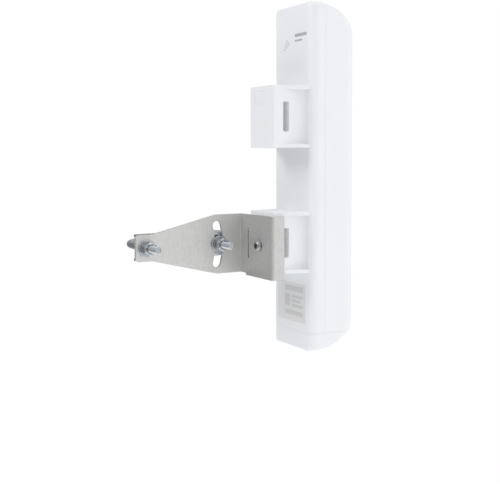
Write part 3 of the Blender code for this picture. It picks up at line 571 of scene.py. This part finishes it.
def make_saddle():
    """Pressed channel with rounded bends, toothed where it bites the mast."""
    half = SADDLE_HIGH.z
    sheet = 0.0020
    mouth = SADDLE_LOW.x
    web = SADDLE_HIGH.x
    end = SADDLE_HIGH.y
    rim = 0.0004
    outer_bend = 0.0028
    inner_bend = 0.0009
    section = rounded([(mouth, -half, rim), (web, -half, outer_bend), (web, half, outer_bend),
                       (mouth, half, rim), (mouth, half - sheet, rim),
                       (web - sheet, half - sheet, inner_bend),
                       (web - sheet, -half + sheet, inner_bend), (mouth, -half + sheet, rim)], 5)
    saddle = prism("saddle_channel", section, "Y", -end, end)
    mast_radius = web - sheet - 0.0040
    bite = math.radians(30)
    floor = web - sheet - 0.0015
    teeth = 5
    tooth_depth = 0.0012
    tooth_reach = 0.0004
    floor_y = (mast_radius - floor * math.cos(bite)) / math.sin(bite)
    mouth_y = (mast_radius - mouth * math.cos(bite)) / math.sin(bite)
    side = [(mouth - 0.004, mouth_y)]
    for tooth in range(teeth + 1):
        part = tooth / teeth
        depth = mouth + (floor - mouth) * part
        reach = mouth_y + (floor_y - mouth_y) * part
        side.append((depth, reach))
        if tooth < teeth:
            side.append((depth + tooth_depth, reach + tooth_reach))
    notch = prism("bite", side + [(x, -y) for x, y in reversed(side)], "Z", -FAR, FAR)
    holes = [prism("leg_hole", circle(y, 0.0, ROD_RADIUS + CLEARANCE, 40), "X", 0.0, FAR)
             for y in (-LEG_Y, LEG_Y)]
    corner_rise = 0.0045
    corners = []
    for side_y in (-1, 1):
        inner = side_y * (end - 0.004)
        outer = side_y * (end + 0.001)
        corners.append(prism("corner", [(mouth - 0.001, inner), (mouth + corner_rise, outer),
                                        (mouth - 0.001, outer)], "Z", -FAR, FAR))
    cut(saddle, notch, *holes, *corners)
    soften(saddle, 0.00018)
    place(dress(saddle, ZINC), "mast_clamp", "zinc_steel", "saddle")


def ring_profile(inner, outer, low, high, edge, steps=3):
    """Section of a ring with its outer edges rounded."""
    points = rounded([(inner, low, edge * 0.5), (outer, low, edge), (outer, high, edge),
                      (inner, high, edge * 0.5)], steps)
    return [(point.x, point.y) for point in points]


def make_flat_washer(side, leg_y):
    """Flat washer of one leg."""
    low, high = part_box(f"flat_washer_{side}")
    edge = 0.00035
    profile = ring_profile(ROD_RADIUS + WASHER_GAP, (high.y - low.y) / 2, 0.0, high.x - low.x, edge)
    washer = turned(f"washer_{side}", profile, "X", (leg_y, 0.0, low.x), ZINC, 64, True)
    place(washer, "mast_clamp", "zinc_steel", f"flat_washer_{side}")


def make_spring_washer(side, leg_y):
    """Split ring of one leg, whose ends stand a little apart along the leg."""
    low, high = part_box(f"spring_washer_{side}")
    thick = high.x - low.x
    outer = (high.y - low.y) / 2
    inner = ROD_RADIUS + WASHER_GAP
    rise = 0.00024
    edge = 0.0002
    steps = 60
    gap = math.radians(9)
    rings = []
    for step in range(steps + 1):
        turn = math.pi / 2 + gap / 2 + (math.tau - gap) * step / steps
        lift = rise * (step / steps)
        bottom = low.x + lift
        section = rounded([(inner, bottom, edge), (outer, bottom, edge),
                           (outer, bottom + thick - rise, edge), (inner, bottom + thick - rise, edge)], 2)
        rings.append([(p.y, leg_y + p.x * math.cos(turn), p.x * math.sin(turn)) for p in section])
    place(lattice(f"lock_washer_{side}", rings, ZINC), "mast_clamp", "zinc_steel", f"spring_washer_{side}")


def make_nut(side, leg_y):
    """Hexagon nut of one leg, chamfered outside and at both ends of its bore."""
    low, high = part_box(f"hex_nut_{side}")
    thick = high.x - low.x
    centre = (leg_y, 0.0, low.x)
    corner = NUT_FLATS / math.sqrt(3.0)
    nut = prism(f"nut_{side}", circle(leg_y, 0.0, corner, 6, math.radians(30)), "X", low.x, high.x)
    face = 0.0047
    past = corner + 0.0001
    over = 0.00001
    slope = (corner - face) * math.tan(math.radians(30))
    form = turned("chamfer", [(0.0, -over), (face, -over), (past, slope), (past, thick - slope),
                              (face, thick + over), (0.0, thick + over)], "X", centre, None, 72)
    keep(nut, form)
    bore = ROD_RADIUS + 0.00005
    sink = ROD_RADIUS + 0.0012
    sunk = 0.00045
    out = 0.001
    cut(nut, turned("bore", [(0.0, -out), (sink, -out), (bore, sunk), (bore, thick - sunk),
                             (sink, thick + out), (0.0, thick + out)], "X", centre, None, 48))
    soften(nut, 0.00012, 2, 25.0)
    place(dress(nut, ZINC, 30.0), "mast_clamp", "zinc_steel", f"hex_nut_{side}")


# Tilting bracket ---------------------------------------------------------------------------------
def make_bracket():
    """Bent sheet: plate, flange and lip, with its slot, pivot hole, slit and screw hole."""
    inner_bend = 0.0004
    outer_bend = inner_bend + SHEET
    plate_end = BRACKET_LOW.y
    lip_end = BRACKET_HIGH.y
    flange_in = FLANGE_OUT + SHEET
    strip = prism("bracket_sheet", rounded([
        (PLATE_IN, plate_end, 0.0), (PLATE_OUT, plate_end, 0.0), (PLATE_OUT, FLANGE_OUT, inner_bend),
        (LIP_OUT, FLANGE_OUT, outer_bend), (LIP_OUT, lip_end, 0.0), (LIP_OUT - SHEET, lip_end, 0.0),
        (LIP_OUT - SHEET, flange_in, inner_bend), (PLATE_IN, flange_in, outer_bend)], 10), "Z", -0.040, 0.040)
    narrow = 0.0108
    tip_round = 0.0025
    neck_round = 0.012
    shoulder_round = 0.018
    tall = BRACKET_HIGH.z
    step_down = tall + BRACKET_LOW.z
    past = lip_end + 0.010
    taper_start = -LEG_Y + 0.0042
    taper_end = LEG_Y - 0.0023
    drop_at = FLANGE_OUT - 0.004
    outline = prism("outline", rounded([
        (plate_end, -narrow, tip_round), (taper_start, -narrow, neck_round),
        (taper_end, -tall, shoulder_round),
        (drop_at, -tall, 0.0), (drop_at, -tall + step_down, 0.0), (past, -tall + step_down, 0.0),
        (past, tall, 0.0), (taper_end, tall, shoulder_round), (taper_start, narrow, neck_round),
        (plate_end, narrow, tip_round)], 10), "X", -FAR, FAR)
    relief = block("relief", (0.0, FLANGE_OUT - 0.010, -0.050),
                   (LUG_LEFT - 0.0028, flange_in + 0.010, -tall))
    through_plate = (0.0, 0.045)
    pivot = prism("pivot_hole", circle(-LEG_Y, 0.0, ROD_RADIUS + CLEARANCE, 48), "X", *through_plate)
    reach = math.radians(14)
    slot_half = ROD_RADIUS + 0.0009
    slot = prism("tilt_slot", arc_band(-LEG_Y, 0.0, 2 * LEG_Y, -reach, reach, slot_half, 24, 14),
                 "X", *through_plate)
    through_flange = (0.030, 0.0645)
    slit_x = LUG_LEFT + 0.0014
    slit_half = 0.0011
    slit = prism("slit", rectangle(slit_x - slit_half, slit_x + slit_half, -0.0120, 0.0110, 0.0010, 8),
                 "Y", *through_flange)
    slit_end = prism("slit_end", circle(slit_x, 0.0115, 0.0018, 32), "Y", *through_flange)
    hole = prism("screw_hole", circle(MID_X, 0.0, 0.0028, 40), "Y", *through_flange)
    keep(strip, outline)
    cut(strip, relief, pivot, slot, slit, slit_end, hole)
    soften(strip, 0.00028, 3)
    place(dress(strip, ALUMINIUM), "radio", "brushed_aluminium", "tilt_bracket")


def make_screw():
    """Button-head screw with a hexagon socket."""
    seat = SCREW_HIGH.y
    face = SCREW_LOW.y
    under = FLANGE_OUT - CLEARANCE
    radius = SCREW_HIGH.x - MID_X
    height = under - face
    rim = 0.0006
    flat = 0.52
    shank = 0.0024
    tip = 0.0018
    tip_chamfer = 0.0006
    steps = 8
    profile = [(0.0, face), (radius * flat, face)]
    for step in range(1, steps + 1):
        turn = math.pi / 2 * step / steps
        profile.append((radius * (flat + (1.0 - flat) * math.sin(turn)),
                        face + (height - rim) * (1 - math.cos(turn))))
    profile += [(radius, under), (shank, under), (shank, seat - tip_chamfer), (tip, seat), (0.0, seat)]
    screw = turned("bracket_bolt", profile, "Y", (MID_X, 0.0, 0.0), None, 64)
    hexagon = circle(MID_X, 0.0, 0.0023, 6, math.radians(12))
    socket = prism("socket", hexagon, "Y", face - 0.001, face + 0.0021)
    cut(screw, socket)
    soften(screw, 0.00012, 2, 50.0)
    place(dress(screw, STEEL), "radio", "zinc_steel", "bracket_screw")


# Housing -----------------------------------------------------------------------------------------
def falling(distance, reach, fall):
    """How far a rounded end has fallen back at a distance from the end, on a quarter ellipse."""
    if distance >= reach:
        return 0.0
    part = (reach - distance) / reach
    return fall * (1.0 - math.sqrt(max(0.0, 1.0 - part * part)))


def housing_outline(distance, inset, steps):
    """Plan outline of the housing at a distance from its nearer end, moved in by a wall."""
    half = HALF_WIDTH - inset - falling(distance, SIDE_EDGE, SIDE_EDGE - inset * 0.5)
    back = BACK + inset + falling(distance, REAR_EDGE, REAR_EDGE - inset * 0.5)
    front = FRONT - inset - falling(distance, END_RISE - inset, END_FALL - inset)
    rear_radius = REAR_RADIUS - inset
    front_radius = FRONT_RADIUS - inset
    room = (front - back - 0.0005) / (rear_radius + front_radius)
    if room < 1.0:
        rear_radius *= room
        front_radius *= room
    return rounded([(MID_X - half, back, rear_radius), (MID_X + half, back, rear_radius),
                    (MID_X + half, front, front_radius), (MID_X - half, front, front_radius)], steps)


def housing_form(name, inset=0.0, steps=12, pace=5):
    """Closed form of the housing, as a stack of plan outlines that follow its rounded ends."""
    levels = {round(edge * (1.0 - math.cos(math.radians(turn))), 6)
              for edge in (SIDE_EDGE, REAR_EDGE, END_RISE) for turn in range(0, 91, pace)}
    levels = sorted(levels)
    spaced = [levels[0]]
    for level in levels[1:]:
        if level - spaced[-1] > 0.00006:
            spaced.append(level)
    low = BOTTOM + inset
    high = TOP - inset
    stack = [(low + level, level) for level in spaced]
    stack += [(high - level, level) for level in reversed(spaced)]
    rings = [[(x, y, z) for x, y in housing_outline(level, inset, steps)] for z, level in stack]
    return lattice(name, rings)


def slab(name, y_low=-FAR, y_high=FAR, z_low=-FAR, z_high=FAR):
    """Large box that keeps or cuts a range of Y and Z."""
    return block(name, (-FAR, y_low, z_low), (FAR, y_high, z_high))


def hollow_housing(name):
    """Both shells in one: the housing above the port cover, with its sealed room and its open bay."""
    shell = keep(housing_form(name), slab("above_cover", z_low=COVER_TOP + SEAM / 2))
    room = keep(housing_form("room", WALL, 4, 15), slab("above_bulkhead", z_low=BULKHEAD_HIGH))
    bay = keep(housing_form("bay", WALL, 4, 15), slab("below_bulkhead", z_high=BULKHEAD_LOW))
    return cut(shell, room, bay)


def slot_rings(middle):
    """Outlines of a strap slot along X, which flare in a round where they leave the lug's two sides."""
    tall = STRAP_SLOT[1] / 2
    wide = STRAP_SLOT[0] / 2
    flare = 0.0006
    near = [(-0.002, flare)]
    near += [(flare * (1.0 - math.cos(math.radians(turn))), flare * (1.0 - math.sin(math.radians(turn))))
             for turn in range(0, 91, 15)]
    places = [(LUG_LEFT + depth, grow) for depth, grow in near]
    places += [(LUG_LEFT + LUG_WIDTH - depth, grow) for depth, grow in reversed(near)]
    return [[(x, y, z) for y, z in rectangle(STRAP_SLOT_Y - wide - grow, STRAP_SLOT_Y + wide + grow,
                                             middle - tall - grow, middle + tall + grow, 0.0015 + grow)]
            for x, grow in places]


def paint_light_into_slots(shell):
    """Give the strap slots' inner walls a whiter copy of the shell plastic: painted light that lifts the
    shade inside the slots.
    """
    shell.data.materials.append(SLOT_PAINTED_LIGHT_WHITE)
    inside_lug = LUG_WIDTH / 2 - 0.0002
    near_y = 0.0042
    near_z = STRAP_SLOT[1] / 2 + 0.0012
    # Faces of the slot walls take the whiter copy, which paints light into the slots
    for face in shell.data.polygons:
        spot = face.center
        across = abs(spot.x - MID_X) < inside_lug and abs(spot.y - STRAP_SLOT_Y) < near_y
        along = any(abs(spot.z - middle) < near_z for middle in LUG_Z.values())
        if across and along:
            face.material_index = 1


def make_lug(middle):
    """Lug on the back: a flare into the housing, two end plates, a strap slot and a shallow pocket."""
    low = middle - LUG_HEIGHT / 2
    high = middle + LUG_HEIGHT / 2
    root = BACK + 0.0012
    flare_x = 0.0068
    flare_y = 0.0100
    turn_at = BACK - flare_y
    half_face = LUG_WIDTH / 2
    edge = 0.0012
    corner = []
    for degrees in range(0, 91, 15):
        turn = math.radians(degrees)
        corner.append((half_face - edge + edge * math.sin(turn), LUG_FACE + edge - edge * math.cos(turn)))
    right = list(corner)
    flare_steps = 12
    for step in range(flare_steps + 1):
        turn = math.pi / 2 * step / flare_steps
        right.append((half_face + flare_x * (1 - math.cos(turn)), turn_at + flare_y * math.sin(turn)))
    right.append((half_face + flare_x, root))
    outline = [(MID_X + x, y) for x, y in right] + [(MID_X - x, y) for x, y in reversed(right)]
    lug = prism("lug", outline, "Z", low + LEDGE / 2, high - LEDGE / 2)
    wide = half_face + flare_x
    past_lip = BRACKET_HIGH.y + 0.0010
    ledge = corner + [(half_face, past_lip), (wide, BACK - 0.0030), (wide, root)]
    plate = [(MID_X + x, y) for x, y in ledge] + [(MID_X - x, y) for x, y in reversed(ledge)]
    plates = [prism("ledge", plate, "Z", z, z + LEDGE) for z in (low, high - LEDGE)]
    join(lug, *plates)
    slot = lattice("strap_slot", slot_rings(middle))
    pocket_x = LUG_LEFT + 0.0075
    pocket = prism("pocket", rectangle(pocket_x, pocket_x + 0.0150, high - 0.0150, high - 0.0035, 0.0010),
                   "Y", 0.0, LUG_FACE + 0.0008)
    cut(lug, slot, pocket)
    return soften(lug, 0.00035, 3, 40.0)


def make_housing():
    """Rear shell with its lugs, and the radome in front of it."""
    rear = keep(hollow_housing("housing_rear"), slab("behind_parting", y_high=PARTING - SEAM / 2))
    front = keep(hollow_housing("housing_radome"), slab("before_parting", y_low=PARTING + SEAM / 2))
    gap = 0.0004
    below = BULKHEAD_LOW - 0.002
    above = BULKHEAD_HIGH + 0.002
    doors = [block("door", (low.x - gap, PARTING - 0.001, below), (high.x + gap, high.y + gap, above))
             for low, high in JACKS]
    button = (BUTTON_LOW + BUTTON_HIGH) / 2
    way = prism("button_way", circle(button.x, button.y, 0.0024, 24), "Z", below, above)
    guide_low, guide_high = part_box("light_guide")
    light_z = (guide_low.z + guide_high.z) / 2
    pitch = 0.0070
    windows = [prism("window", circle(MID_X + pitch * (index - 2), light_z, 0.0016, 24),
                     "Y", FRONT - 0.010, FRONT + 0.010) for index in range(5)]
    cut(front, *doors, way, *windows)
    soften(front, SHELL_EDGE, 2, 60.0)
    place(dress(front, RADOME_WHITE, 30.0), "radio", "radome_plastic", "front_radome")
    lugs = [make_lug(middle) for middle in LUG_Z.values()]
    join(rear, *lugs)
    near = STRAP_SLOT_Y + STRAP_SLOT[0] / 2 + 0.0025
    core_x = 0.0160
    core_z = 0.0223
    cores = [block("core", (MID_X - core_x, near, middle - core_z),
                   (MID_X + core_x, BACK + WALL + 0.001, middle + core_z)) for middle in LUG_Z.values()]
    seat = prism("insert_seat", circle(MID_X, 0.0, 0.0039, 32), "Y", 0.0, LUG_FACE + 0.0076)
    tip = prism("screw_tip", circle(MID_X, 0.0, 0.0030, 32), "Y", 0.0, LUG_FACE + 0.0085)
    cut(rear, *cores, seat, tip)
    dress(rear, SHELL_WHITE, 30.0)
    paint_light_into_slots(rear)
    place(rear, "radio", "white_plastic", "rear_shell")


def make_cover():
    """Bottom cap with its two plain arms and its round cable hole."""
    cover = keep(housing_form("port_cap"), slab("below_seam", z_high=COVER_TOP - SEAM / 2))
    cut(cover, keep(housing_form("cover_room", WALL, 4, 15), slab("cover_room_part", z_high=0.0)))
    arm_y = BACK + 0.0200
    arm_top = BULKHEAD_LOW - 0.0030
    foot_low = COVER_TOP - 0.0080
    arm_width = 0.0080
    hole_top = COVER_TOP - 0.004
    for side in (-1, 1):
        wall_x = MID_X + side * (HALF_WIDTH - WALL)
        inner = wall_x - side * 0.0022
        arm_x = sorted((inner, wall_x - side * 0.0006))
        foot_x = sorted((inner, wall_x + side * 0.0010))
        arm = block("arm", (arm_x[0], arm_y, foot_low), (arm_x[1], arm_y + arm_width, arm_top))
        foot = block("foot", (foot_x[0], arm_y, foot_low), (foot_x[1], arm_y + arm_width, COVER_TOP - 0.0015))
        join(cover, join(arm, foot))
    centre = (GROMMET_LOW + GROMMET_HIGH) / 2
    seat = prism("grommet_seat", circle(centre.x, centre.y, 0.0076, 48), "Z", BOTTOM + 0.0026, hole_top)
    hole = prism("cable_hole", circle(centre.x, centre.y, 0.0061, 48), "Z", BOTTOM - 0.002, hole_top)
    cut(cover, seat, hole)
    soften(cover, SHELL_EDGE, 2, 60.0)
    place(dress(cover, SHELL_WHITE, 30.0), "port_cover", "white_plastic", "port_cover")


def make_label():
    """Film on the back, below the lower lug."""
    outline = rectangle(LABEL_LOW.x, LABEL_HIGH.x, LABEL_LOW.z, LABEL_HIGH.z, 0.0015, 8)
    film = prism("label_sheet", outline, "Y", BACK - 0.00018, BACK + 0.0001)
    place(dress(film, LOOKS["label_film"]), "radio", "label_film", "rating_label")


def make_mark():
    """Small printed mark of plain arcs and a dot beside two bars, near the top of the back."""
    middle = Vector((MID_X - 0.0120, 0.1650))
    low = BACK - 0.00006
    high = BACK + 0.0001
    shapes = [arc_band(middle.x, middle.y, radius, math.radians(20), math.radians(70), 0.0006, 12)
              for radius in (0.0030, 0.0055, 0.0080)]
    shapes.append(circle(middle.x, middle.y, 0.0011, 20))
    dots_and_arcs = len(shapes)
    bar_x = MID_X + 0.0040
    bars = ((0.0175, 0.1738, 0.1764, 0.0012), (0.0110, 0.1700, 0.1714, 0.0006))
    for length, bar_low, bar_high, corner in bars:
        shapes.append(rectangle(bar_x, bar_x + length, bar_low, bar_high, corner))
    for number, outline in enumerate(shapes, 1):
        ink = INK if number > dots_and_arcs else FAINT_INK
        place(prism(f"mark_{number}", outline, "Y", low, high, ink), "radio", "label_film")


def make_grommet():
    """Stepped rubber grommet in the cover's floor."""
    centre = (GROMMET_LOW + GROMMET_HIGH) / 2
    low = GROMMET_LOW.z
    bore = 0.0040
    neck = 0.0060
    flange = 0.0075
    flange_low = low + 0.0022
    flange_high = low + 0.0042
    high = low + 0.0057
    profile = rounded([(bore, low, 0.0004), (neck, low, 0.0006), (neck, flange_low, 0.0001),
                       (flange, flange_low, 0.0005), (flange, flange_high, 0.0006),
                       (neck, high, 0.0006), (bore, high, 0.0005)], 4)
    ring = turned("cable_seal", [(point.x, point.y) for point in profile], "Z",
                  (centre.x, centre.y, 0.0), RUBBER, 48, True)
    place(ring, "port_cover", "seal_rubber", "cable_grommet")


make_u_bolt()
make_saddle()
for leg_name, leg_side in (("pivot", -LEG_Y), ("slot", LEG_Y)):
    make_flat_washer(leg_name, leg_side)
    make_spring_washer(leg_name, leg_side)
    make_nut(leg_name, leg_side)
make_bracket()
make_screw()
make_housing()
make_cover()
make_label()
make_mark()
make_grommet()


# Studio ------------------------------------------------------------------------------------------
def make_floor():
    """Pale floor well below the part, which hangs on a mast that isn't part of the model."""
    floor = prism("floor", circle(0.0, 0.0, 1.5, 64), "Z", -0.76, -0.75)
    look = Look("floor_paint", (0.60, 0.60, 0.60), 0.8)
    look.tint(look.noise(3.0), (0.585, 0.585, 0.588))
    look.shader.inputs["Emission Color"].default_value = (1.0, 1.0, 1.0, 1.0)
    look.shader.inputs["Emission Strength"].default_value = 0.85
    dress(floor, look.material)


def make_light(name, spot, size, energy):
    """Soft square light that faces the part."""
    data = bpy.data.lights.new(name, "AREA")
    data.size = size
    data.energy = energy
    lamp = bpy.data.objects.new(name, data)
    lamp.location = spot
    aim = Vector((0.04, 0.04, 0.04)) - Vector(spot)
    lamp.rotation_euler = aim.to_track_quat("-Z", "Y").to_euler()
    bpy.context.scene.collection.objects.link(lamp)


BRIGHT_SIDE = (0.66, 0.58, 0.48)
DIM_LIGHT = 0.32
FULL_LIGHT = 0.94


def make_world():
    """White behind the part; the light itself is brighter from +X, +Y and above than from the far side."""
    world = bpy.data.worlds.new("studio")
    bpy.context.scene.world = world
    world.use_nodes = True
    tree = world.node_tree
    tree.nodes.clear()
    place_node = tree.nodes.new("ShaderNodeTexCoord")
    along = tree.nodes.new("ShaderNodeVectorMath")
    along.operation = "DOT_PRODUCT"
    along.inputs[1].default_value = Vector(BRIGHT_SIDE).normalized()
    tree.links.new(place_node.outputs["Generated"], along.inputs[0])
    span = tree.nodes.new("ShaderNodeMapRange")
    span.inputs["From Min"].default_value = -0.7
    span.inputs["From Max"].default_value = 0.7
    span.inputs["To Min"].default_value = DIM_LIGHT
    span.inputs["To Max"].default_value = FULL_LIGHT
    tree.links.new(along.outputs["Value"], span.inputs["Value"])
    soft = tree.nodes.new("ShaderNodeBackground")
    tree.links.new(span.outputs["Result"], soft.inputs["Strength"])
    plain = tree.nodes.new("ShaderNodeBackground")
    for backdrop in (soft, plain):
        backdrop.inputs["Color"].default_value = (1.0, 1.0, 1.0, 1.0)
    rays = tree.nodes.new("ShaderNodeLightPath")
    mix = tree.nodes.new("ShaderNodeMixShader")
    out = tree.nodes.new("ShaderNodeOutputWorld")
    tree.links.new(rays.outputs["Is Camera Ray"], mix.inputs[0])
    tree.links.new(soft.outputs[0], mix.inputs[1])
    tree.links.new(plain.outputs[0], mix.inputs[2])
    tree.links.new(mix.outputs[0], out.inputs["Surface"])


def make_camera():
    """Camera on the photograph's side of the part, a little above its middle."""
    data = bpy.data.cameras.new("camera")
    data.lens = 60.56
    data.sensor_width = 36.0
    data.clip_start = 0.01
    data.shift_x = -0.0399
    data.shift_y = -0.0862
    camera = bpy.data.objects.new("camera", data)
    turn = math.radians(58.245)
    pitch = math.radians(3.4)
    camera.location = (0.66149, -0.30457, 0.07385)
    back = Vector((math.sin(turn) * math.cos(pitch), -math.cos(turn) * math.cos(pitch), math.sin(pitch)))
    camera.rotation_euler = back.to_track_quat("Z", "Y").to_euler()
    bpy.context.scene.collection.objects.link(camera)
    bpy.context.scene.camera = camera


make_floor()
make_world()
make_light("key", (0.85, 0.35, 1.05), 0.8, 1.8)
make_light("rear_fill", (-0.40, -1.15, 0.95), 0.8, 9.5)
make_camera()
bpy.context.scene.view_settings.view_transform = "Standard"
